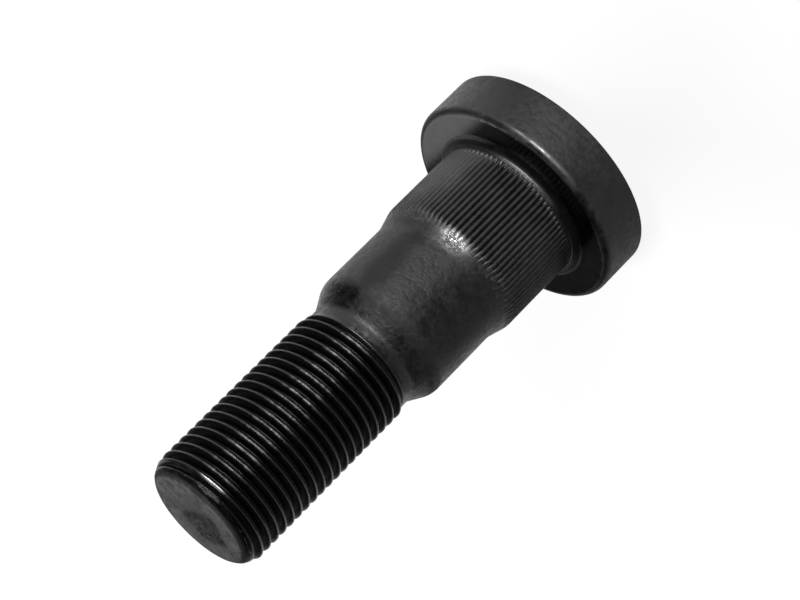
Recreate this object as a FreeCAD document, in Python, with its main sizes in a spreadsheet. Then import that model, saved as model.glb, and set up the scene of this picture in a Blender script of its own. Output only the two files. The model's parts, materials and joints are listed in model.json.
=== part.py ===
# Wheel bolt with a round head, a splined land and a threaded end, forged and rolled in one piece.
# It stands on its head: the axis is Z, and the head's outer face lies on Z = 0.
import FreeCAD, Part
import os
import Sketcher

NODE = "wheel_bolt"

# Driving sizes in millimetres, from the head up to the thread's end. Each stretch has its own length,
# and each wall stands out from the one before it by its own step.
SIZES = {
    "thread_diameter": 17.85,
    "thread_length": 30.7,
    "thread_runout": 0.6,
    "tip_height": 2.1,
    "tip_inset": 1.1,
    "neck_relief": 0.42,
    "neck_length": 1.4,
    "neck_radius": 2.0,
    "shoulder_step": 1.275,
    "shoulder_length": 3.2,
    "shoulder_radius": 1.5,
    "shank_length": 11.6,
    "lead_in_length": 3.0,
    "land_rise": 0.85,
    "land_length": 13.2,
    "spline_count": 86,
    "spline_depth": 0.3,
    "spline_width": 0.46,
    "spline_gap": 1.4,
    "head_overhang": 5.6,
    "head_thickness": 7.6,
    "head_face_chamfer": 0.2,
    "head_rim_radius": 1.0,
    "under_head_radius": 1.2,
}

# Radii and heights that follow from the driving sizes. A groove is drawn to twice its depth, so that it
# clears the land, and it is twice as wide there.
STATIONS = {
    "thread_wall": "Sizes.thread_diameter / 2",
    "tip_wall": "thread_wall - Sizes.tip_inset",
    "neck_wall": "thread_wall - Sizes.neck_relief",
    "shank_wall": "thread_wall + Sizes.shoulder_step",
    "land_wall": "shank_wall + Sizes.land_rise",
    "head_wall": "land_wall + Sizes.head_overhang",
    "land_foot": "Sizes.head_thickness",
    "land_top": "land_foot + Sizes.land_length",
    "shank_foot": "land_top + Sizes.lead_in_length",
    "shank_top": "shank_foot + Sizes.shank_length",
    "neck_foot": "shank_top + Sizes.shoulder_length",
    "neck_top": "neck_foot + Sizes.neck_length",
    "thread_foot": "neck_top + Sizes.thread_runout",
    "tip": "neck_top + Sizes.thread_length",
    "thread_top": "tip - Sizes.tip_height",
    "spline_foot": "land_foot + Sizes.spline_gap",
    "spline_root": "land_wall - Sizes.spline_depth",
    "spline_clear": "land_wall + Sizes.spline_depth",
    "spline_mouth": "2 * Sizes.spline_width",
}

AXIS = "axis"
FLOOR = "floor"

document = FreeCAD.newDocument("WheelBolt")


def fill_sheet(name, cells, prefix):
    """Write one named cell in each row of a new sheet."""
    sheet = document.addObject("Spreadsheet::Sheet", name)
    for row, (alias, content) in enumerate(cells.items(), start=1):
        sheet.set(f"A{row}", alias)
        sheet.set(f"B{row}", prefix + str(content))
        sheet.setAlias(f"B{row}", alias)
    document.recompute()
    return sheet


fill_sheet("Sizes", SIZES, "")
stations = fill_sheet("Stations", STATIONS, "=")


def station(name):
    """The present value of a station, with the axis and the floor at zero."""
    return 0.0 if name in (AXIS, FLOOR) else float(stations.get(name))


def new_sketch(body, name, role):
    """A sketch on one of the body's own origin planes."""
    sketch = body.newObject("Sketcher::SketchObject", name)
    plane = next(item for item in body.Origin.OriginFeatures if item.Role == role)
    sketch.AttachmentSupport = [(plane, "")]
    sketch.MapMode = "FlatFace"
    return sketch


def draw_loop(sketch, points):
    """Straight lines from point to point and back to the first, each joined to the next."""
    for line, start in enumerate(points):
        end = points[(line + 1) % len(points)]
        sketch.addGeometry(Part.LineSegment(start, end))
    for line in range(len(points)):
        sketch.addConstraint(Sketcher.Constraint("Coincident", line, 2, (line + 1) % len(points), 1))


def bind(sketch, kind, line, name):
    """Hold the start of a line at a station, counted from the sketch's origin."""
    row = sketch.addConstraint(Sketcher.Constraint(kind, -1, 1, line, 1, station(name)))
    sketch.setExpression(f"Constraints[{row}]", f"Stations.{name}")


def place_corner(sketch, line, wall, level):
    """Hold a corner of the half section at a radius and a height."""
    if wall == AXIS:
        sketch.addConstraint(Sketcher.Constraint("PointOnObject", line, 1, -2))
    else:
        bind(sketch, "DistanceX", line, wall)
    if level == FLOOR:
        sketch.addConstraint(Sketcher.Constraint("PointOnObject", line, 1, -1))
    else:
        bind(sketch, "DistanceY", line, level)


def draw_half_section(body):
    """Half of the bolt's section, from the head's outer face up to the thread's end, closed along the axis."""
    corners = [
        (AXIS, FLOOR),
        ("head_wall", FLOOR),
        ("head_wall", "land_foot"),
        ("land_wall", "land_foot"),
        ("land_wall", "land_top"),
        ("shank_wall", "shank_foot"),
        ("shank_wall", "shank_top"),
        ("neck_wall", "neck_foot"),
        ("neck_wall", "neck_top"),
        ("thread_wall", "thread_foot"),
        ("thread_wall", "thread_top"),
        ("tip_wall", "tip"),
        (AXIS, "tip"),
    ]
    sketch = new_sketch(body, "HalfSection", "XZ_Plane")
    points = [FreeCAD.Vector(station(wall), station(level), 0) for wall, level in corners]
    draw_loop(sketch, points)
    for line, (wall, level) in enumerate(corners):
        place_corner(sketch, line, wall, level)
    return sketch


def revolve(body, sketch):
    """Turn the half section about the bolt's axis."""
    feature = body.newObject("PartDesign::Revolution", "Blank")
    feature.Profile = sketch
    feature.ReferenceAxis = (sketch, ["V_Axis"])
    feature.Angle = 360
    document.recompute()
    return feature


def rim_at(shape, wall, level):
    """The name of the round edge at a radius and a height."""
    near = 1e-6
    for index, edge in enumerate(shape.Edges, start=1):
        if not isinstance(edge.Curve, Part.Circle):
            continue
        off_wall = abs(edge.Curve.Radius - station(wall))
        off_level = abs(edge.Curve.Center.z - station(level))
        if off_wall < near and off_level < near:
            return f"Edge{index}"
    raise ValueError(f"no round edge at {wall}, {level}")


def finish_edges(body, base):
    """Break the edge of the head's outer face, and roll the other corners over to their own radii."""
    corners = [
        ("Chamfer", "Size", "head_face_chamfer", "head_wall", FLOOR),
        ("Fillet", "Radius", "head_rim_radius", "head_wall", "land_foot"),
        ("Fillet", "Radius", "under_head_radius", "land_wall", "land_foot"),
        ("Fillet", "Radius", "shoulder_radius", "shank_wall", "shank_top"),
        ("Fillet", "Radius", "neck_radius", "neck_wall", "neck_foot"),
    ]
    for kind, measure, size, wall, level in corners:
        edge = body.newObject(f"PartDesign::{kind}", f"Edge_{size}")
        edge.Base = (base, [rim_at(base.Shape, wall, level)])
        edge.setExpression(measure, f"Sizes.{size}")
        document.recompute()
        base = edge
    return base


def draw_groove(body):
    """The vee between two splines, seen along the axis, drawn at the foot of the splines."""
    sketch = new_sketch(body, "SplineGroove", "XY_Plane")
    sketch.setExpression("AttachmentOffset.Base.z", "Stations.spline_foot")
    mouth = station("spline_mouth")
    root = FreeCAD.Vector(station("spline_root"), 0, 0)
    right = FreeCAD.Vector(station("spline_clear"), -mouth / 2, 0)
    left = FreeCAD.Vector(station("spline_clear"), mouth / 2, 0)
    draw_loop(sketch, [root, right, left])
    sketch.addConstraint(Sketcher.Constraint("PointOnObject", 0, 1, -1))
    bind(sketch, "DistanceX", 0, "spline_root")
    bind(sketch, "DistanceX", 1, "spline_clear")
    sketch.addConstraint(Sketcher.Constraint("Symmetric", 1, 1, 1, 2, -1))
    across = sketch.addConstraint(Sketcher.Constraint("DistanceY", 1, 1, 1, 2, mouth))
    sketch.setExpression(f"Constraints[{across}]", "Stations.spline_mouth")
    return sketch


def cut_splines(body, base):
    """Cut one vee up the land and out through its lead-in, then repeat it round the axis."""
    groove = draw_groove(body)
    pocket = body.newObject("PartDesign::Pocket", "SplineCut")
    pocket.Profile = groove
    pocket.Reversed = True
    pocket.setExpression("Length", "Stations.shank_foot - Stations.spline_foot")
    document.recompute()
    if pocket.Shape.Volume >= base.Shape.Volume:
        raise ValueError("the spline groove cuts nothing")
    pattern = body.newObject("PartDesign::PolarPattern", "Splines")
    pattern.Originals = [pocket]
    pattern.Axis = (groove, ["N_Axis"])
    pattern.Angle = 360
    pattern.setExpression("Occurrences", "Sizes.spline_count")
    body.Tip = pattern
    document.recompute()
    return pattern


def write_step(body):
    """Write the finished solid, once every object of the document is sound."""
    for item in document.Objects:
        if "Invalid" in item.State or "Error" in item.State:
            raise ValueError(f"{item.Label} failed: {item.State}")
    if body.Shape.isNull() or not body.Shape.isValid():
        raise ValueError(f"{body.Label} has no valid shape")
    os.makedirs("parts", exist_ok=True)
    body.Shape.exportStep(f"parts/{body.Label}.step")


bolt = document.addObject("PartDesign::Body", "Bolt")
bolt.Label = NODE
blank = revolve(bolt, draw_half_section(bolt))
edged = finish_edges(bolt, blank)
cut_splines(bolt, edged)
write_step(bolt)
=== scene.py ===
# Wheel bolt on a white table: forged head, splined land, shank and rolled thread, in oiled black phosphate.
import json
import math

import bmesh
import bpy
from mathutils import Matrix, Vector


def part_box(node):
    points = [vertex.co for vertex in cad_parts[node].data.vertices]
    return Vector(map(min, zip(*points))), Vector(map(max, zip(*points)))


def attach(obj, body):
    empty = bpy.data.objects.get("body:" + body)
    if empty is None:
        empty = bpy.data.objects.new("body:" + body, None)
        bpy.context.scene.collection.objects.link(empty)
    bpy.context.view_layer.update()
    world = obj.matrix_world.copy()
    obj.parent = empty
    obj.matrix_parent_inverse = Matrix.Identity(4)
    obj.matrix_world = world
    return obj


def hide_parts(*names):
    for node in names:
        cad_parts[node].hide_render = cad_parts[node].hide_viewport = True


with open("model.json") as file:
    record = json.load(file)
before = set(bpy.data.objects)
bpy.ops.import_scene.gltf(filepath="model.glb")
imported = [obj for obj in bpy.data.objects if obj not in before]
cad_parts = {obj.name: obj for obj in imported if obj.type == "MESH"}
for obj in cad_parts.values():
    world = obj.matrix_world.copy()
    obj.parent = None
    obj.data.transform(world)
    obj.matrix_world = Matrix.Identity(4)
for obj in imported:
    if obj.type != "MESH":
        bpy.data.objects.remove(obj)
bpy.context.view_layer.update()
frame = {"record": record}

mm = 0.001
print("frame loaded")

# Small helpers for node trees


def feed(tree, socket, value):
    # link a socket, or set a plain value
    if isinstance(value, bpy.types.NodeSocket):
        tree.links.new(value, socket)
    else:
        socket.default_value = value


def addNode(tree, kind, inputs=None, **settings):
    node = tree.nodes.new(kind)
    for name, value in settings.items():
        setattr(node, name, value)
    for name, value in (inputs or {}).items():
        feed(tree, node.inputs[name], value)
    return node


def calc(tree, operation, *values):
    node = addNode(tree, "ShaderNodeMath", operation=operation)
    for place, value in enumerate(values):
        feed(tree, node.inputs[place], value)
    return node.outputs[0]


def chain(tree, operation, values):
    # one operation from each value to the next
    result = values[0]
    for value in values[1:]:
        result = calc(tree, operation, result, value)
    return result


def product(tree, *values):
    return chain(tree, "MULTIPLY", values)


def total(tree, *values):
    return chain(tree, "ADD", values)


def largest(tree, *values):
    return chain(tree, "MAXIMUM", values)


def vectorCalc(tree, operation, *vectors):
    # a number for lengths and dot products, and a vector for the rest
    node = addNode(tree, "ShaderNodeVectorMath", operation=operation)
    for place, vector in enumerate(vectors):
        feed(tree, node.inputs[place], vector)
    asNumber = operation in ("LENGTH", "DISTANCE", "DOT_PRODUCT")
    return node.outputs["Value" if asNumber else "Vector"]


def mapRange(tree, value, fromLow, fromHigh, toLow=0.0, toHigh=1.0, kind="LINEAR"):
    inputs = {"Value": value, "From Min": fromLow, "From Max": fromHigh, "To Min": toLow, "To Max": toHigh}
    return addNode(tree, "ShaderNodeMapRange", inputs, interpolation_type=kind).outputs["Result"]


def ease(tree, value, fromLow, fromHigh, toLow=0.0, toHigh=1.0):
    return mapRange(tree, value, fromLow, fromHigh, toLow, toHigh, "SMOOTHSTEP")


def between(tree, value, low, high, soft):
    # 1 inside a range, with soft ends
    rise = ease(tree, value, low - soft, low + soft)
    fall = ease(tree, value, high - soft, high + soft, 1.0, 0.0)
    return product(tree, rise, fall)


def blend(tree, factor, first, second):
    # colours or numbers, the first where the factor is 0
    kind = "RGBA" if isinstance(second, tuple) or getattr(second, "type", "") == "RGBA" else "FLOAT"
    node = addNode(tree, "ShaderNodeMix", data_type=kind)
    sockets = [socket for socket in node.inputs if socket.enabled]
    for socket, value in zip(sockets, (factor, first, second)):
        feed(tree, socket, (*value, 1) if isinstance(value, tuple) else value)
    return next(socket for socket in node.outputs if socket.enabled)


# The bolt's skin

mounts = {mount["name"]: mount for mount in frame["record"]["mounts"]}
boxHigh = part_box("wheel_bolt")[1]


def mountRadius(name):
    return mounts[name]["dims"]["r_mm"] * mm


bolt = {
    "headRadius": boxHigh.x,
    "headHeight": mounts["bearing_face"]["pos_m"][2],
    "landRadius": mountRadius("splined_land"),
    "shankRadius": mountRadius("shank"),
    "tipHeight": boxHigh.z,
    "faceEdge": 0.2 * mm,
    "rimRadius": 1.0 * mm,
    "underHead": 1.2 * mm,
    "landTop": 20.8 * mm,
    "landTopRun": 1.4 * mm,
    "landRound": 3.0 * mm,
    "shankFoot": 23.8 * mm,
    "shankRound": 4.5 * mm,
    "shankTop": 35.4 * mm,
    "shoulderRound": 3.5 * mm,
    "neckFoot": 38.6 * mm,
    "neckRound": 2.0 * mm,
    "neckRadius": 8.47 * mm,
    "threadFoot": 39.9 * mm,
    "threadRun": 0.3 * mm,
    "threadFade": 1.6 * mm,
    "threadDepth": 1.0 * mm,
    "crestRadius": mountRadius("thread") + 0.045 * mm,
    "crestHeight": 66.05 * mm,
    "pitch": 1.5 * mm,
    "rowsPerPitch": 14,
    "chamferHeight": 2.19 * mm,
    "chamferInset": 1.145 * mm,
    "endRound": 1.8 * mm,
    "endFade": 0.6 * mm,
    "tipFade": 0.15 * mm,
    "dishRadius": 5.2 * mm,
    "dishRound": 1.5 * mm,
    "dishDepth": 0.25 * mm,
    "splineCount": 86,
    "splineDepth": 0.36 * mm,
    "splineFoot": 9.0 * mm,
    "splineFade": 0.45 * mm,
    "splineBlend": 0.04 * mm,
    "mergeWithin": 0.0002 * mm,
}
grooveAngles = (0.0, 0.13, 0.3, 0.5, 0.7, 0.87)  # shares of a spline's width, from a root to the next
grooveShares = (1.0, 0.5, 0.1, 0.0, 0.1, 0.5)  # how deep each of those columns lies
# shares of the way and of the rise, from a thread's root to its crest
threadProfile = ((0.1, 0.06), (0.6, 0.74), (0.8, 0.95))


def roundCorner(before, corner, after, radius, steps=9):
    # points of the arc that takes a corner's place
    toBefore = (before - corner).normalized()
    toAfter = (after - corner).normalized()
    half = toBefore.angle(toAfter) / 2
    start = corner + toBefore * radius / math.tan(half)
    centre = corner + (toBefore + toAfter).normalized() * radius / math.sin(half)
    turn = math.pi - 2 * half
    if toBefore.cross(toAfter) > 0:
        turn = -turn
    arm = start - centre
    return [centre + Matrix.Rotation(turn * step / steps, 2) @ arm for step in range(steps + 1)]


def layRows(corners):
    # each corner is a radius, a height, its rounding and the rows on the run that leads to it
    points = [Vector(corner[:2]) for corner in corners]
    rows = []
    for place, (point, (_, _, rounding, runRows)) in enumerate(zip(points, corners)):
        arc = [point]
        if rounding:
            arc = roundCorner(points[place - 1], point, points[place + 1], rounding)
        if rows:
            start = rows[-1]
            rows += [start.lerp(arc[0], step / runRows) for step in range(1, runRows)]
        rows += arc
    return rows


def boltRows(size):
    # rows of the skin from the head's outer face to the thread's end: radius, height, lead, fine columns
    neckRadius = size["neckRadius"]
    endRadius = size["crestRadius"] - size["chamferInset"]
    step = size["pitch"] / size["rowsPerPitch"]
    slope = size["chamferInset"] / size["chamferHeight"]
    endRows = math.floor((size["tipHeight"] - size["endFade"] - size["crestHeight"]) / step)
    threadEnd = size["crestHeight"] + endRows * step
    threadRowCount = round((threadEnd - size["threadFoot"] + size["threadRun"]) / step)
    threadStart = threadEnd - threadRowCount * step
    splineFoot, splineFade = size["splineFoot"], size["splineFade"]
    lower = layRows([
        (0, 0, 0, 0),
        (size["headRadius"], 0, size["faceEdge"], 7),
        (size["headRadius"], size["headHeight"], size["rimRadius"], 10),
        (size["landRadius"], size["headHeight"], size["underHead"], 7),
        (size["landRadius"], splineFoot - splineFade, 0, 2),
        (size["landRadius"], splineFoot + splineFade, 0, 7),
        (size["landRadius"], size["landTop"] - size["landTopRun"], 0, 9),
        (size["landRadius"], size["landTop"], size["landRound"], 2),
        (size["shankRadius"], size["shankFoot"], size["shankRound"], 5),
        (size["shankRadius"], size["shankTop"], size["shoulderRound"], 12),
        (neckRadius, size["neckFoot"], size["neckRound"], 4),
        (neckRadius, threadStart, 0, 3),
    ])
    upper = layRows([
        (endRadius + slope * (size["tipHeight"] - threadEnd), threadEnd, 0, 0),
        (endRadius, size["tipHeight"], size["endRound"], 3),
        (size["dishRadius"], size["tipHeight"], size["dishRound"], 3),
        (0, size["tipHeight"] - size["dishDepth"], 0, 5),
    ])
    rows = []
    for radius, height in lower[:-1]:
        fine = splineFoot - 2 * splineFade < height < size["shankFoot"]
        rows.append((radius, height, 0.0, float(fine)))
    turnRows = size["rowsPerPitch"]
    for row in range(turnRows):  # from level to a full lead
        rows.append((neckRadius, threadStart, row / turnRows, 0.0))
    for row in range(threadRowCount - turnRows):
        rows.append((neckRadius, threadStart + row * step, 1.0, 0.0))
    for row in range(turnRows):  # and back to level
        rows.append((neckRadius, threadEnd - size["pitch"] + row * step, 1 - row / turnRows, 0.0))
    return rows + [(radius, height, 0.0, 0.0) for radius, height in upper]


def sectionObject(rows):
    # the half section as a line of points, which the skin's tree reads
    mesh = bpy.data.meshes.new("boltSection")
    mesh.from_pydata([(radius, 0, height) for radius, height, _, _ in rows], [], [])
    for name, column in (("lead", 2), ("fine", 3)):
        attribute = mesh.attributes.new(name, "FLOAT", "POINT")
        attribute.data.foreach_set("value", [row[column] for row in rows])
    section = bpy.data.objects.new("boltSection", mesh)
    bpy.context.scene.collection.objects.link(section)
    return section


def sampleRow(tree, section, value, row, dataType):
    inputs = {"Geometry": section, "Index": row}
    node = addNode(tree, "GeometryNodeSampleIndex", inputs, data_type=dataType, domain="POINT")
    feed(tree, node.inputs["Value"], value)
    return node.outputs[0]


def sampleAttribute(tree, section, name, row):
    attribute = addNode(tree, "GeometryNodeInputNamedAttribute", {"Name": name}, data_type="FLOAT")
    return sampleRow(tree, section, attribute.outputs["Attribute"], row, "FLOAT")


def pickShare(tree, shares, index):
    node = addNode(tree, "GeometryNodeIndexSwitch", data_type="FLOAT")
    while len(node.index_switch_items) < len(shares):
        node.index_switch_items.new()
    feed(tree, node.inputs["Index"], index)
    for place, share in enumerate(shares):
        node.inputs[place + 1].default_value = share
    return node.outputs[0]


def threadWave(tree, height, turnShare, size):
    # share of the thread's height at a height and a share of a turn: a vee with a rounded crest
    aboveCrest = calc(tree, "SUBTRACT", height, size["Crest Height"])
    phase = calc(tree, "SUBTRACT", calc(tree, "DIVIDE", aboveCrest, size["Pitch"]), turnShare)
    fromCrest = calc(tree, "PINGPONG", product(tree, phase, 2.0), 1.0)
    curve = addNode(tree, "ShaderNodeFloatCurve", {"Value": calc(tree, "SUBTRACT", 1.0, fromCrest)})
    points = curve.mapping.curves[0].points
    points[0].location = (0.0, 0.0)
    points[1].location = (1.0, 1.0)
    for spot in threadProfile:
        points.new(*spot)
    curve.mapping.update()
    return curve.outputs[0]


def threadSurface(tree, height, turnShare, plain, size):
    # radius of the thread, which fades at its foot and stops at the end's chamfer, and how deep it is cut
    wave = threadWave(tree, height, turnShare, size)
    fadeTop = total(tree, size["Thread Foot"], size["Thread Fade"])
    threadIn = ease(tree, height, size["Thread Foot"], fadeTop)
    fadeEnd = calc(tree, "SUBTRACT", size["Tip Height"], size["End Fade"])
    fadeStart = calc(tree, "SUBTRACT", fadeEnd, size["Tip Fade"])
    threadShare = product(tree, threadIn, ease(tree, height, fadeStart, fadeEnd, 1.0, 0.0))
    swing = product(tree, calc(tree, "SUBTRACT", wave, 0.5), size["Thread Depth"], threadShare)
    chamferFoot = calc(tree, "SUBTRACT", size["Tip Height"], size["Chamfer Height"])
    endRadius = calc(tree, "SUBTRACT", size["Crest Radius"], size["Chamfer Inset"])
    chamfer = mapRange(tree, height, chamferFoot, size["Tip Height"], size["Crest Radius"], endRadius)
    threaded = calc(tree, "MINIMUM", total(tree, plain, swing), chamfer)
    cut = calc(tree, "DIVIDE", calc(tree, "SUBTRACT", chamfer, threaded), size["Thread Depth"])
    return threaded, product(tree, cut, threadShare)


def grooveSurface(tree, height, inSpline, plain, size):
    # radius of the splines, which run out through the lead-in
    grooveFoot = calc(tree, "SUBTRACT", size["Spline Foot"], size["Spline Fade"])
    grooveFull = total(tree, size["Spline Foot"], size["Spline Fade"])
    grooveIn = ease(tree, height, grooveFoot, grooveFull)
    depth = product(tree, pickShare(tree, grooveShares, inSpline), size["Spline Depth"], grooveIn)
    groove = calc(tree, "SUBTRACT", size["Land Radius"], depth)
    return calc(tree, "SMOOTH_MIN", plain, groove, bolt["splineBlend"])


skinSizes = {  # the tree's inputs and the sizes that they take
    "Spline Depth": "splineDepth",
    "Spline Foot": "splineFoot",
    "Spline Fade": "splineFade",
    "Land Radius": "landRadius",
    "Pitch": "pitch",
    "Crest Radius": "crestRadius",
    "Crest Height": "crestHeight",
    "Thread Depth": "threadDepth",
    "Thread Foot": "threadFoot",
    "Thread Fade": "threadFade",
    "End Fade": "endFade",
    "Tip Fade": "tipFade",
    "Tip Height": "tipHeight",
    "Chamfer Height": "chamferHeight",
    "Chamfer Inset": "chamferInset",
}


def skinInputs(tree):
    sockets = {"Section": "NodeSocketObject", "Rows": "NodeSocketInt", "Splines": "NodeSocketInt"}
    sockets.update(dict.fromkeys(skinSizes, "NodeSocketFloat"))
    for name, kind in sockets.items():
        tree.interface.new_socket(name, in_out="INPUT", socket_type=kind)
    return addNode(tree, "NodeGroupInput").outputs


def skinTree(material):
    tree = bpy.data.node_groups.new("boltSkin", "GeometryNodeTree")
    size = skinInputs(tree)
    tree.interface.new_socket("Geometry", in_out="OUTPUT", socket_type="NodeSocketGeometry")
    perSpline = float(len(grooveAngles))
    columns = product(tree, size["Splines"], perSpline)
    section = addNode(tree, "GeometryNodeObjectInfo", {"Object": size["Section"]}).outputs["Geometry"]
    grid = addNode(tree, "GeometryNodeMeshGrid", {"Vertices Y": size["Rows"]})
    feed(tree, grid.inputs["Vertices X"], total(tree, columns, 1.0))

    # which row and column a point is on
    index = addNode(tree, "GeometryNodeInputIndex").outputs[0]
    column = calc(tree, "FLOOR", calc(tree, "DIVIDE", total(tree, index, 0.5), size["Rows"]))
    row = calc(tree, "SUBTRACT", index, product(tree, column, size["Rows"]))
    position = addNode(tree, "GeometryNodeInputPosition").outputs[0]
    rowPlace = sampleRow(tree, section, position, row, "FLOAT_VECTOR")
    place = addNode(tree, "ShaderNodeSeparateXYZ", {0: rowPlace}).outputs
    plain, level = place["X"], place["Z"]
    lead = sampleAttribute(tree, section, "lead", row)
    fine = sampleAttribute(tree, section, "fine", row)

    # plain rows keep two columns in each spline, and the others fall together
    spline = calc(tree, "FLOOR", calc(tree, "DIVIDE", total(tree, column, 0.5), perSpline))
    inSpline = calc(tree, "SUBTRACT", column, product(tree, spline, perSpline))
    plainAngle = product(tree, calc(tree, "GREATER_THAN", inSpline, perSpline / 2 - 0.5), 0.5)
    angleShare = blend(tree, fine, plainAngle, pickShare(tree, grooveAngles, inSpline))
    turnShare = calc(tree, "DIVIDE", total(tree, spline, angleShare), size["Splines"])
    angle = product(tree, turnShare, math.tau)
    height = total(tree, level, product(tree, lead, turnShare, size["Pitch"]))

    # the radius of each point, and how near it is to a crest
    onThread = calc(tree, "GREATER_THAN", lead, 0.0)
    threaded, threadCut = threadSurface(tree, height, turnShare, plain, size)
    smoothRadius = blend(tree, onThread, plain, threaded)
    grooved = grooveSurface(tree, height, inSpline, smoothRadius, size)
    radius = blend(tree, fine, smoothRadius, grooved)
    splineCut = calc(tree, "DIVIDE", calc(tree, "SUBTRACT", smoothRadius, radius), size["Spline Depth"])
    deepest = largest(tree, product(tree, threadCut, onThread), splineCut)
    ridge = calc(tree, "SUBTRACT", 1.0, deepest)

    spot = addNode(tree, "ShaderNodeCombineXYZ", {"Z": height})
    feed(tree, spot.inputs["X"], product(tree, radius, calc(tree, "COSINE", angle)))
    feed(tree, spot.inputs["Y"], product(tree, radius, calc(tree, "SINE", angle)))
    shape = addNode(tree, "GeometryNodeSetPosition", {"Geometry": grid.outputs["Mesh"]})
    feed(tree, shape.inputs["Position"], spot.outputs[0])
    inputs = {"Geometry": shape.outputs[0], "Name": "ridge"}
    marked = addNode(tree, "GeometryNodeStoreNamedAttribute", inputs, data_type="FLOAT", domain="POINT")
    feed(tree, marked.inputs["Value"], ridge)
    merged = addNode(tree, "GeometryNodeMergeByDistance", {"Geometry": marked.outputs[0]})
    feed(tree, merged.inputs["Distance"], bolt["mergeWithin"])
    smooth = addNode(tree, "GeometryNodeSetShadeSmooth", {"Geometry": merged.outputs[0]})
    realized = addNode(tree, "GeometryNodeRealizeInstances", {"Geometry": smooth.outputs[0]})
    finished = addNode(tree, "GeometryNodeSetMaterial", {"Geometry": realized.outputs[0]})
    feed(tree, finished.inputs["Material"], material)
    addNode(tree, "NodeGroupOutput", {"Geometry": finished.outputs[0]})
    return tree


def makeBolt(material):
    rows = boltRows(bolt)
    section = sectionObject(rows)
    tree = skinTree(material)
    holder = bpy.data.objects.new("boltHolder", bpy.data.meshes.new("boltHolder"))
    bpy.context.scene.collection.objects.link(holder)
    modifier = holder.modifiers.new("skin", "NODES")
    modifier.node_group = tree
    values = {name: bolt[size] for name, size in skinSizes.items()}
    values.update({"Section": section, "Rows": len(rows), "Splines": bolt["splineCount"]})
    for item in tree.interface.items_tree:
        if item.in_out == "INPUT":
            modifier[item.identifier] = values[item.name]
    graph = bpy.context.evaluated_depsgraph_get()
    graph.update()
    mesh = bpy.data.meshes.new_from_object(holder.evaluated_get(graph), depsgraph=graph)
    holder.modifiers.remove(modifier)
    bpy.data.objects.remove(holder)
    bpy.data.objects.remove(section)
    shell = bmesh.new()
    shell.from_mesh(mesh)
    bmesh.ops.recalc_face_normals(shell, faces=shell.faces)
    shell.to_mesh(mesh)
    openEdges = sum(1 for edge in shell.edges if not edge.is_manifold)
    volume = shell.calc_volume(signed=True)
    shell.free()
    print("bolt skin", len(mesh.vertices), "points", len(mesh.polygons), "faces")
    print("bolt skin", openEdges, "open edges", volume / mm ** 3, "cubic millimetres")
    piece = bpy.data.objects.new("wheel_bolt_skin", mesh)
    bpy.context.scene.collection.objects.link(piece)
    return piece


# The bolt's steel, in black phosphate under oil, with painted shade in its roots and on the shank and
# shoulder, and painted light and highlights in places

steel = {
    "coat": (0.002, 0.002, 0.0021),
    # the coat's paler random mottle; this tone also serves painted light on the left side and a painted
    # highlight on the cone
    "paleAndLitCoat": (0.016, 0.016, 0.016),
    # painted light: the splined land's left side made paler
    "litLandColour": (0.04, 0.04, 0.0395),
    # the bearing face's lighter grey: partly wear, partly painted light on its lit side
    "rubbedAndLit": (0.222, 0.222, 0.219),
    "oiled": (0.0015, 0.0015, 0.0016),
    # painted shade: thread and spline roots darker than the coat
    "root": (0.0008, 0.0008, 0.0008),
    "endGrey": (0.202, 0.202, 0.199),
    "endDark": (0.012, 0.012, 0.012),
    # worn metal, and painted highlights on the thread's near crests
    "wearAndGlint": (0.45, 0.45, 0.445),
    # painted highlight: lighter metal on the head's rim and fillet where the lamp's glint falls
    "edge": (0.14, 0.14, 0.139),
    "coatRough": 0.5,
    "oiledRough": 0.36,
    "shoulderShadeRough": 0.38,
    "shoulderRough": 0.7,
    "edgeRough": 0.36,
    "faceRough": 0.2,
    "rubbedRough": 0.62,
    "rootRough": 0.32,
    "endRough": 0.68,
    "hollowRough": 0.34,
    "chamferRough": 0.34,
    "bareRough": 0.36,
    "shine": 0.52,
    "endMiddle": (0.0, 0.55, 0.0),
    "rubbedLitSide": (0.995, -0.07, 0.0),
}
zones = {  # ranges in millimetres: heights, or distances from the axis, with a softness where both ends fade
    "thread": (38.9, 40.6),
    "crests": (68.95, 68.75),
    "chamfer": (69.2, 69.7),
    "end": (69.5, 69.9),
    "endDisc": (7.75, 7.25),
    "endRim": (8.5, 7.9),
    "shoulder": (34.8, 36.6, 0.4),
    "splines": (8.9, 23.2, 0.2),
    "splineTips": (20.6, 22.6, 0.3),
    "fillet": (7.65, 8.7, 0.15),
    "filletWall": (12.2, 11.9),
    "filletTop": (7.95, 8.45),
    "face": (7.5, 7.7, 0.05),
    "faceWidth": (12.3, 15.75, 0.12),
    "rubbedAndLit": (10.2, 13.8),
    "rim": (6.5, 7.5, 0.2),
    "rimWall": (15.8, 16.2),
}
ridges = {  # ranges of the skin's ridge value, which is 1 on a crest and 0 in a full root
    "root": (0.85, 0.35),
    "deepRoot": (0.75, 0.2, 0.0, 0.6),
    "splineTip": (0.75, 1.0),
    "crestTopWearGlint": (0.86, 0.98),
    "crestHighlight": (0.8, 0.95),
}
grains = {  # noises: stretch, scale for each millimetre, detail and roughness
    "blotch": ((1, 1, 1), 0.35, 3.0, 0.55),
    "grain": ((1, 1, 1), 1.4, 4.0, 0.65),
    "fleck": ((1, 1, 1), 1.9, 4.0, 0.7),
    "dash": ((1, 1, 1), 1.1, 3.0, 0.6),
    "endMottle": ((1, 1, 1), 0.7, 3.0, 0.6),
    "turned": ((0.12, 0.12, 4.5), 1.0, 4.0, 0.6),
}
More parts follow.
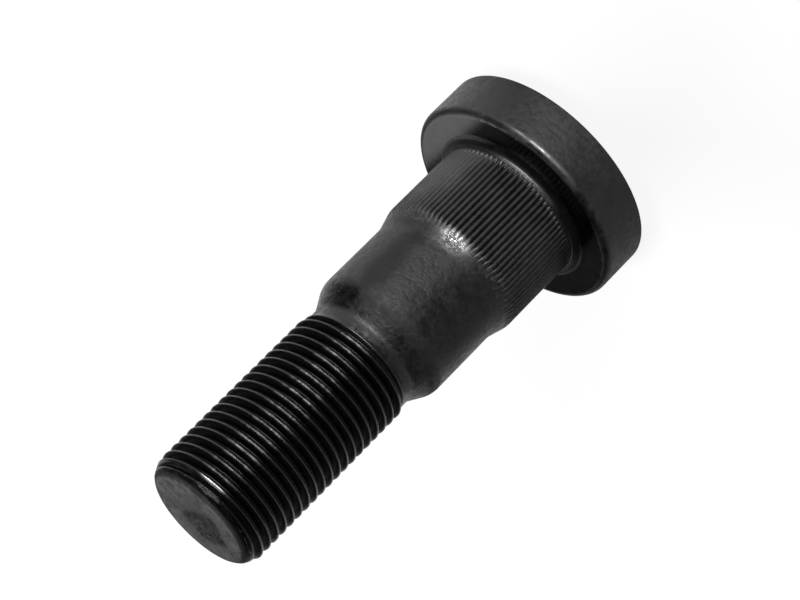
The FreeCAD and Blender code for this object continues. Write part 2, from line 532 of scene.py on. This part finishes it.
spreads = {  # ranges of a noise, and what they are spread to
    "ragged": (0.3, 0.7),
    "mottleBlotch": (0.35, 0.7),
    "mottleGrain": (0.3, 0.75),
    "rubbedLitGrain": (0.35, 0.65, 0.75, 1.0),
    "endEdge": (0.3, 0.7, -0.15, 0.15),
    "endMottle": (0.35, 0.7, 0.0, 0.75),
    "roughGrain": (0.3, 0.7, -0.1, 0.1),
    "roughBlotch": (0.3, 0.7, -0.06, 0.06),
    "burrFleck": (0.45, 0.62, 0.08, 0.9),
    "tipFleck": (0.5, 0.66, 0.0, 0.12),
    "rimDash": (0.5, 0.7, 0.0, 0.03),
    "rimGrain": (0.4, 0.7, 0.0, 0.12),
    "crestDash": (0.42, 0.66, 0.0, 0.38),
}
strengths = {
    "litSide": 0.8,
    "coneHighlight": 0.6,
    "litSideRoot": 0.25,
    "shoulder": 0.8,
    "shoulderShade": 0.35,
    "shadeStreak": 0.35,
    "shade": 0.15,
    "burredTips": 0.5,
    "crestHighlight": 0.6,
    "firstCrestHighlight": 0.3,
    "faceUneven": 0.2,
}
reliefs = {  # how strongly each thing shows in the fine relief, and the relief's depth
    "turned": 0.3,
    "blotch": 2.0,
    "level": 1.65,
    "burr": 2.0,
    "smoothed": 0.2,
    "threadFlat": 0.7,
    "endFlat": 0.9,
    "depth": 0.055 * mm,
}
marks = {  # middles and half sizes in millimetres, the share of a half size that is full, and raggedness
    "burr": ((2.2, -10.4, 22.4), (3.3, 1.8, 1.9), 0.3, 0.25),
    # painted shade: a dark, duller patch on the shoulder
    "shoulderShade": ((9.5, -4.2, 36.7), (5.5, 6.5, 3.0), 0.75, 0.12),
    # painted shade: a darker run on the shank's near side, and its darker right side
    "shadeStreak": ((6.2, -8.1, 29.5), (3.0, 3.0, 10.0), 0.3, 0.25),
    "shade": ((-5.0, -8.9, 29.0), (5.0, 4.0, 9.5), 0.4, 0.2),
    # painted highlight: a lighter patch on the neck's cone, where its glint falls
    "coneHighlight": ((1.6, -9.5, 38.9), (3.0, 2.0, 1.6), 0.2, 0.25),
    # partly wear, partly painted highlight: two brighter crests near the end
    "crestHighlight": ((2.0, -8.7, 68.66), (2.3, 2.0, 0.34), 0.6, 0.2),
    "firstCrestHighlight": ((1.6, -8.1, 69.8), (2.3, 2.0, 0.34), 0.5, 0.2),
    "endHollow": ((-1.2, 0.6, 70.4), (5.8, 5.6, 3.0), 0.45, 0.2),
    "rimRub": ((-14.4, -8.0, 5.6), (3.4, 4.2, 1.9), 0.2, 0.25),
    # painted light: the land's and head's left side made paler where the light falls
    "litSide": ((12.5, -6.5, 10.0), (8.0, 8.5, 13.0), 0.5, 0.2),
    # painted highlight: the near part of the rim and fillet
    "edgeGlints": ((1.5, -13.0, 7.7), (7.5, 6.5, 2.0), 0.5, 0.1),
    # painted highlight: worn crests kept only on the near side, where the lamp's highlight falls
    "nearCrests": ((2.1, -9.5, 55.0), (3.2, 6.0, 30.0), 0.5, 0.1),
}


def steelNoises(tree, point):
    noises = {}
    for name, (stretch, scale, detail, roughness) in grains.items():
        stretched = vectorCalc(tree, "MULTIPLY", point, stretch)
        inputs = {"Vector": stretched, "Scale": scale, "Detail": detail, "Roughness": roughness}
        noises[name] = addNode(tree, "ShaderNodeTexNoise", inputs).outputs["Fac"]
    return noises


def markMask(tree, point, name, ragged):
    # 1 at a mark's middle and 0 past its half sizes, with a ragged edge
    centre, halfSizes, full, raggedness = marks[name]
    offset = vectorCalc(tree, "SUBTRACT", point, centre)
    far = vectorCalc(tree, "LENGTH", vectorCalc(tree, "DIVIDE", offset, halfSizes))
    uneven = mapRange(tree, ragged, *spreads["ragged"], -raggedness, raggedness)
    return ease(tree, total(tree, far, uneven), full, 1.0, 1.0, 0.0)


def steelZones(tree, point, noises):
    # masks of the zones along the bolt
    height = addNode(tree, "ShaderNodeSeparateXYZ", {0: point}).outputs["Z"]
    levelled = vectorCalc(tree, "MULTIPLY", point, (1, 1, 0))
    radial = vectorCalc(tree, "LENGTH", levelled)
    ridge = addNode(tree, "ShaderNodeAttribute", attribute_name="ridge").outputs["Fac"]
    endRadius = vectorCalc(tree, "DISTANCE", levelled, steel["endMiddle"])
    endEdge = total(tree, endRadius, mapRange(tree, noises["fleck"], *spreads["endEdge"]))
    atEnd = mapRange(tree, height, *zones["end"])
    atRim = between(tree, height, *zones["rim"])
    atFillet = between(tree, height, *zones["fillet"])
    atFace = between(tree, height, *zones["face"])
    atTips = between(tree, height, *zones["splineTips"])
    side = vectorCalc(tree, "DOT_PRODUCT", point, steel["rubbedLitSide"])
    # painted light: the left side's paler tone, with less painted shade in its roots
    litSide = markMask(tree, point, "litSide", noises["blotch"])
    fullRoot = mapRange(tree, litSide, 0.0, 1.0, 1.0, strengths["litSideRoot"])
    zone = {
        "ridge": ridge,
        "thread": ease(tree, height, *zones["thread"]),
        "crests": mapRange(tree, height, *zones["crests"]),
        "chamfer": mapRange(tree, height, *zones["chamfer"]),
        "end": product(tree, ease(tree, endEdge, *zones["endDisc"]), atEnd),
        "endRim": product(tree, ease(tree, endEdge, *zones["endRim"]), atEnd),
        "hollow": markMask(tree, point, "endHollow", noises["blotch"]),
        "shoulder": between(tree, height, *zones["shoulder"]),
        "shoulderShade": markMask(tree, point, "shoulderShade", noises["blotch"]),
        "splines": between(tree, height, *zones["splines"]),
        "splineTips": product(tree, atTips, mapRange(tree, ridge, *ridges["splineTip"])),
        "rim": product(tree, atRim, ease(tree, radial, *zones["rimWall"])),
        "fillet": product(tree, atFillet, ease(tree, radial, *zones["filletWall"])),
        "face": product(tree, atFace, between(tree, radial, *zones["faceWidth"])),
        "litSide": litSide,
        # painted shade in the thread's and splines' roots, weaker on the lit left side
        "root": product(tree, ease(tree, ridge, *ridges["root"]), fullRoot),
        "deepRoot": product(tree, ease(tree, ridge, *ridges["deepRoot"]), fullRoot),
    }
    # partly wear, partly painted light: the lighter grey ends along the land's cast shadow on the bearing
    # face
    zone["rubbedAndLit"] = product(tree, ease(tree, side, *zones["rubbedAndLit"]), zone["face"])
    filletTop = product(tree, zone["fillet"], ease(tree, height, *zones["filletTop"]))
    # painted highlight on the near part of the rim and under-head fillet
    edgeGlints = markMask(tree, point, "edgeGlints", noises["blotch"])
    zone["edgeGlints"] = product(tree, edgeGlints, largest(tree, zone["rim"], filletTop))
    return zone


def coatColour(tree, point, noises, zone):
    mottleBlotch = mapRange(tree, noises["blotch"], *spreads["mottleBlotch"])
    mottleGrain = mapRange(tree, noises["grain"], *spreads["mottleGrain"])
    coat = blend(tree, product(tree, mottleBlotch, mottleGrain), steel["coat"], steel["paleAndLitCoat"])
    # painted light: the left side of the land and head made paler
    litSideTone = blend(tree, zone["splines"], steel["paleAndLitCoat"], steel["litLandColour"])
    coat = blend(tree, product(tree, zone["litSide"], strengths["litSide"]), coat, litSideTone)
    coat = blend(tree, largest(tree, zone["face"], zone["fillet"]), coat, steel["oiled"])
    # painted shade on the shoulder
    coat = blend(tree, zone["shoulderShade"], coat, steel["oiled"])
    # painted highlight on the neck's cone
    coneHighlight = markMask(tree, point, "coneHighlight", noises["grain"])
    coat = blend(tree, product(tree, coneHighlight, strengths["coneHighlight"]), coat, steel["paleAndLitCoat"])
    # partly wear, partly painted light on the bearing face's lit side
    rubbedLitGrain = mapRange(tree, noises["grain"], *spreads["rubbedLitGrain"])
    coat = blend(tree, product(tree, zone["rubbedAndLit"], rubbedLitGrain), coat, steel["rubbedAndLit"])
    coat = blend(tree, zone["thread"], coat, steel["oiled"])
    # painted shade: the roots darkened
    coat = blend(tree, zone["root"], coat, steel["root"])
    endMottle = mapRange(tree, noises["endMottle"], *spreads["endMottle"])
    endCoat = blend(tree, endMottle, steel["endGrey"], steel["endDark"])
    endCoat = blend(tree, zone["hollow"], endCoat, steel["endDark"])
    coat = blend(tree, zone["end"], coat, endCoat)
    # painted highlight: lighter metal on the near rim and fillet
    return blend(tree, zone["edgeGlints"], coat, steel["edge"])


def coatRoughness(tree, noises, zone):
    rough = blend(tree, zone["thread"], steel["coatRough"], steel["oiledRough"])
    rough = blend(tree, zone["edgeGlints"], rough, steel["edgeRough"])
    rough = blend(tree, product(tree, zone["shoulder"], strengths["shoulder"]), rough, steel["shoulderRough"])
    rough = blend(tree, zone["shoulderShade"], rough, steel["shoulderShadeRough"])
    rough = blend(tree, zone["face"], rough, steel["faceRough"])
    rough = blend(tree, zone["rubbedAndLit"], rough, steel["rubbedRough"])
    rough = blend(tree, zone["root"], rough, steel["rootRough"])
    rough = blend(tree, zone["chamfer"], rough, steel["chamferRough"])
    endRough = blend(tree, zone["hollow"], steel["endRough"], steel["hollowRough"])
    rough = blend(tree, zone["endRim"], rough, endRough)
    roughGrain = mapRange(tree, noises["grain"], *spreads["roughGrain"])
    roughBlotch = mapRange(tree, noises["blotch"], *spreads["roughBlotch"])
    fullUneven = mapRange(tree, zone["face"], 0.0, 1.0, 1.0, strengths["faceUneven"])
    return total(tree, rough, product(tree, total(tree, roughGrain, roughBlotch), fullUneven))


def wearAndGlints(tree, point, noises, zone):
    # where the coat is worn through, the burr alone, and painted highlights: worn crests kept only on the
    # near side, and two brighter crests near the end
    fleck, grain, dash = noises["fleck"], noises["grain"], noises["dash"]
    burred = markMask(tree, point, "burr", fleck)
    burr = product(tree, burred, mapRange(tree, fleck, *spreads["burrFleck"]))
    burredTips = product(tree, burred, strengths["burredTips"])
    tipShare = total(tree, mapRange(tree, fleck, *spreads["tipFleck"]), burredTips)
    tipRub = product(tree, zone["splineTips"], tipShare)
    rimDashes = product(tree, zone["rim"], mapRange(tree, dash, *spreads["rimDash"]))
    rimRub = markMask(tree, point, "rimRub", grain)
    rimRub = product(tree, rimRub, mapRange(tree, grain, *spreads["rimGrain"]))
    # partly wear, partly painted highlight: crest dashes only where the highlight falls
    crestTopWearGlint = mapRange(tree, zone["ridge"], *ridges["crestTopWearGlint"])
    crestWearGlint = product(tree, zone["thread"], crestTopWearGlint, mapRange(tree, dash, *spreads["crestDash"]))
    nearCrests = markMask(tree, point, "nearCrests", noises["blotch"])
    crestWearGlint = product(tree, crestWearGlint, nearCrests, zone["crests"])
    # partly wear, partly painted highlight on two crests near the end
    crestHighlight = product(tree, markMask(tree, point, "crestHighlight", grain), strengths["crestHighlight"])
    firstCrestHighlight = product(tree, markMask(tree, point, "firstCrestHighlight", grain), strengths["firstCrestHighlight"])
    crestTop = mapRange(tree, zone["ridge"], *ridges["crestHighlight"])
    crestHighlights = product(tree, total(tree, crestHighlight, firstCrestHighlight), crestTop)
    wearAndGlint = total(tree, burr, tipRub, rimDashes, rimRub, crestWearGlint, crestHighlights)
    return calc(tree, "MINIMUM", wearAndGlint, 1.0), burr


def paintedShade(tree, point, noises, zone):
    # painted shade: dark metal that takes the shine off the roots, the shoulder and two runs of the shank
    shadeStreak = product(tree, markMask(tree, point, "shadeStreak", noises["blotch"]), strengths["shadeStreak"])
    shade = product(tree, markMask(tree, point, "shade", noises["blotch"]), strengths["shade"])
    return largest(tree, zone["deepRoot"], shadeStreak, shade, product(tree, zone["shoulderShade"], strengths["shoulderShade"]))


def fineRelief(tree, noises, zone, burr):
    # the coat's grain, turning lines and the burrs
    turned = product(tree, noises["turned"], reliefs["turned"])
    blotch = product(tree, noises["blotch"], reliefs["blotch"])
    rippled = calc(tree, "SUBTRACT", total(tree, noises["grain"], turned, blotch), reliefs["level"])
    smoothed = largest(tree, zone["rim"], zone["fillet"], zone["splines"], zone["thread"])
    threadFlat = product(tree, zone["thread"], reliefs["threadFlat"])
    endFlat = product(tree, zone["endRim"], reliefs["endFlat"])
    flat = largest(tree, zone["face"], threadFlat, endFlat)
    smoothShare = mapRange(tree, smoothed, 0.0, 1.0, 1.0, reliefs["smoothed"])
    relief = product(tree, rippled, smoothShare, mapRange(tree, flat, 0.0, 1.0, 1.0, 0.0))
    relief = total(tree, relief, product(tree, burr, reliefs["burr"]))
    inputs = {"Strength": 1.0, "Distance": reliefs["depth"], "Height": relief}
    return addNode(tree, "ShaderNodeBump", inputs).outputs[0]


def phosphateSteel():
    material = bpy.data.materials.new("phosphateSteel")
    material.use_nodes = True
    tree = material.node_tree
    shader = tree.nodes["Principled BSDF"].inputs
    place = addNode(tree, "ShaderNodeTexCoord").outputs["Object"]
    point = vectorCalc(tree, "DIVIDE", place, (mm, mm, mm))
    noises = steelNoises(tree, point)
    zone = steelZones(tree, point, noises)
    wearAndGlint, burr = wearAndGlints(tree, point, noises, zone)
    shadeDarkening = paintedShade(tree, point, noises, zone)
    feed(tree, shader["Base Color"], blend(tree, wearAndGlint, coatColour(tree, point, noises, zone), steel["wearAndGlint"]))
    feed(tree, shader["Roughness"], blend(tree, wearAndGlint, coatRoughness(tree, noises, zone), steel["bareRough"]))
    # metallic: worn metal, painted highlights on the near edges and crests, and dark metal as painted shade
    feed(tree, shader["Metallic"], largest(tree, wearAndGlint, shadeDarkening, zone["edgeGlints"]))
    feed(tree, shader["Normal"], fineRelief(tree, noises, zone, burr))
    shader["Specular IOR Level"].default_value = steel["shine"]
    return material


boltSkin = makeBolt(phosphateSteel())
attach(boltSkin, "root")
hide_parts("wheel_bolt")

# Camera: above the thread's end, looking down along the bolt

view = {
    "elevation": math.radians(23.82),
    "roll": math.radians(225),
    "distance": 351.06 * mm,
    "aimBelowEnd": 37.96 * mm,
    "aimAside": 1.63 * mm,
    "lens": 124.2,
    "sensorWidth": 36,
    "clipStart": 0.01,
}


def makeCamera():
    turn = Matrix.Rotation(math.pi / 2 - view["elevation"], 3, "X")
    right, up, back = turn.col[0], turn.col[1], turn.col[2]
    aim = Vector((0, 0, bolt["tipHeight"])) - up * view["aimBelowEnd"] + right * view["aimAside"]
    cameraData = bpy.data.cameras.new("camera")
    cameraData.lens = view["lens"]
    cameraData.sensor_width = view["sensorWidth"]
    cameraData.clip_start = view["clipStart"]
    camera = bpy.data.objects.new("camera", cameraData)
    bpy.context.scene.collection.objects.link(camera)
    rolled = (turn @ Matrix.Rotation(view["roll"], 3, "Z")).to_4x4()
    camera.matrix_world = Matrix.Translation(aim + back * view["distance"]) @ rolled
    bpy.context.scene.camera = camera


makeCamera()
print("camera placed")

# Floor and light

stage = {  # sizes in metres, and ranges with what they are spread to
    "floorSize": 6.0,
    "floorColour": (0.45, 0.45, 0.45),
    "frontColour": (0.1, 0.1, 0.1),
    "glow": 0.86,
    "backward": (0.6, 0.8, 0.0),
    "behind": (-0.03, 0.02),
    "close": (0.03, 0.06, 0.45, 0.0),
    "aside": (-0.145, -0.075, 1.0, 0.0),
}
room = {
    "horizonColour": (1, 1, 1, 1),
    "overheadColour": (0.03, 0.03, 0.03, 1),
    "overheadFrom": 0.12,
    "frontToBack": (-0.4, 0.4, 0.15, 1.0),
}
lamps = {  # angles in degrees, azimuth 0 on the camera's side and turning towards +X; metres and watts
    "keyLamp": {
        "azimuth": 24, "elevation": 4, "distance": 2.5,
        "width": 2.0, "height": 0.5, "power": 88.0,
    },
    "backPanel": {
        "azimuth": 168, "elevation": 52, "distance": 1.0,
        "width": 0.45, "height": 0.3, "power": 3.3,
    },
}


def floorMaterial():
    # white where the camera and part of the reflections see it, and plain paper for light
    material = bpy.data.materials.new("whiteTable")
    material.use_nodes = True
    tree = material.node_tree
    tree.nodes.clear()
    path = addNode(tree, "ShaderNodeLightPath").outputs
    place = addNode(tree, "ShaderNodeNewGeometry").outputs["Position"]
    behind = ease(tree, vectorCalc(tree, "DOT_PRODUCT", place, stage["backward"]), *stage["behind"])
    close = ease(tree, vectorCalc(tree, "LENGTH", place), *stage["close"])
    sideways = addNode(tree, "ShaderNodeSeparateXYZ", {0: place}).outputs["X"]
    bright = largest(tree, behind, close, ease(tree, sideways, *stage["aside"]))
    mirrored = largest(tree, path["Is Glossy Ray"], path["Is Transmission Ray"])
    seen = largest(tree, path["Is Camera Ray"], product(tree, mirrored, bright))
    dark = product(tree, mirrored, calc(tree, "SUBTRACT", 1.0, bright))
    glow = addNode(tree, "ShaderNodeEmission", {"Strength": product(tree, seen, stage["glow"])})
    paperColour = blend(tree, dark, stage["floorColour"], stage["frontColour"])
    paper = addNode(tree, "ShaderNodeBsdfDiffuse", {"Color": paperColour})
    both = addNode(tree, "ShaderNodeAddShader", {0: glow.outputs[0], 1: paper.outputs[0]})
    addNode(tree, "ShaderNodeOutputMaterial", {"Surface": both.outputs[0]})
    return material


def makeFloor():
    mesh = bpy.data.meshes.new("floor")
    half = stage["floorSize"] / 2
    corners = [(-half, -half, 0), (half, -half, 0), (half, half, 0), (-half, half, 0)]
    mesh.from_pydata(corners, [], [(0, 1, 2, 3)])
    mesh.materials.append(floorMaterial())
    floor = bpy.data.objects.new("floor", mesh)
    bpy.context.scene.collection.objects.link(floor)


def addSoftbox(name, settings):
    azimuth = math.radians(settings["azimuth"])
    elevation = math.radians(settings["elevation"])
    level = math.cos(elevation)
    direction = Vector((math.sin(azimuth) * level, -math.cos(azimuth) * level, math.sin(elevation)))
    lampData = bpy.data.lights.new(name, "AREA")
    lampData.shape = "RECTANGLE"
    lampData.size = settings["width"]
    lampData.size_y = settings["height"]
    lampData.energy = settings["power"]
    lamp = bpy.data.objects.new(name, lampData)
    lamp.location = Vector((0, 0, bolt["tipHeight"] / 2)) + direction * settings["distance"]
    lamp.rotation_mode = "QUATERNION"
    lamp.rotation_quaternion = direction.to_track_quat("Z", "Y")
    lamp.visible_camera = False
    bpy.context.scene.collection.objects.link(lamp)


def makeWorld():
    # a dim room, lighter behind the bolt and at the horizon, and white for the camera
    world = bpy.data.worlds.new("studio")
    bpy.context.scene.world = world
    world.use_nodes = True
    tree = world.node_tree
    direction = addNode(tree, "ShaderNodeTexCoord").outputs["Generated"]
    directions = addNode(tree, "ShaderNodeSeparateXYZ", {0: direction}).outputs
    ramp = addNode(tree, "ShaderNodeValToRGB", {"Fac": directions["Z"]})
    horizon, overhead = ramp.color_ramp.elements
    horizon.position = 0.0
    horizon.color = room["horizonColour"]
    overhead.position = room["overheadFrom"]
    overhead.color = room["overheadColour"]
    path = addNode(tree, "ShaderNodeLightPath").outputs
    background = tree.nodes["Background"].inputs
    feed(tree, background["Color"], largest(tree, path["Is Camera Ray"], ramp.outputs[0]))
    brightness = ease(tree, directions["Y"], *room["frontToBack"])
    feed(tree, background["Strength"], largest(tree, path["Is Camera Ray"], brightness))


makeFloor()
makeWorld()
for lampName, lampSettings in lamps.items():
    addSoftbox(lampName, lampSettings)
bpy.context.scene.view_settings.view_transform = "Standard"
print("stage lit")
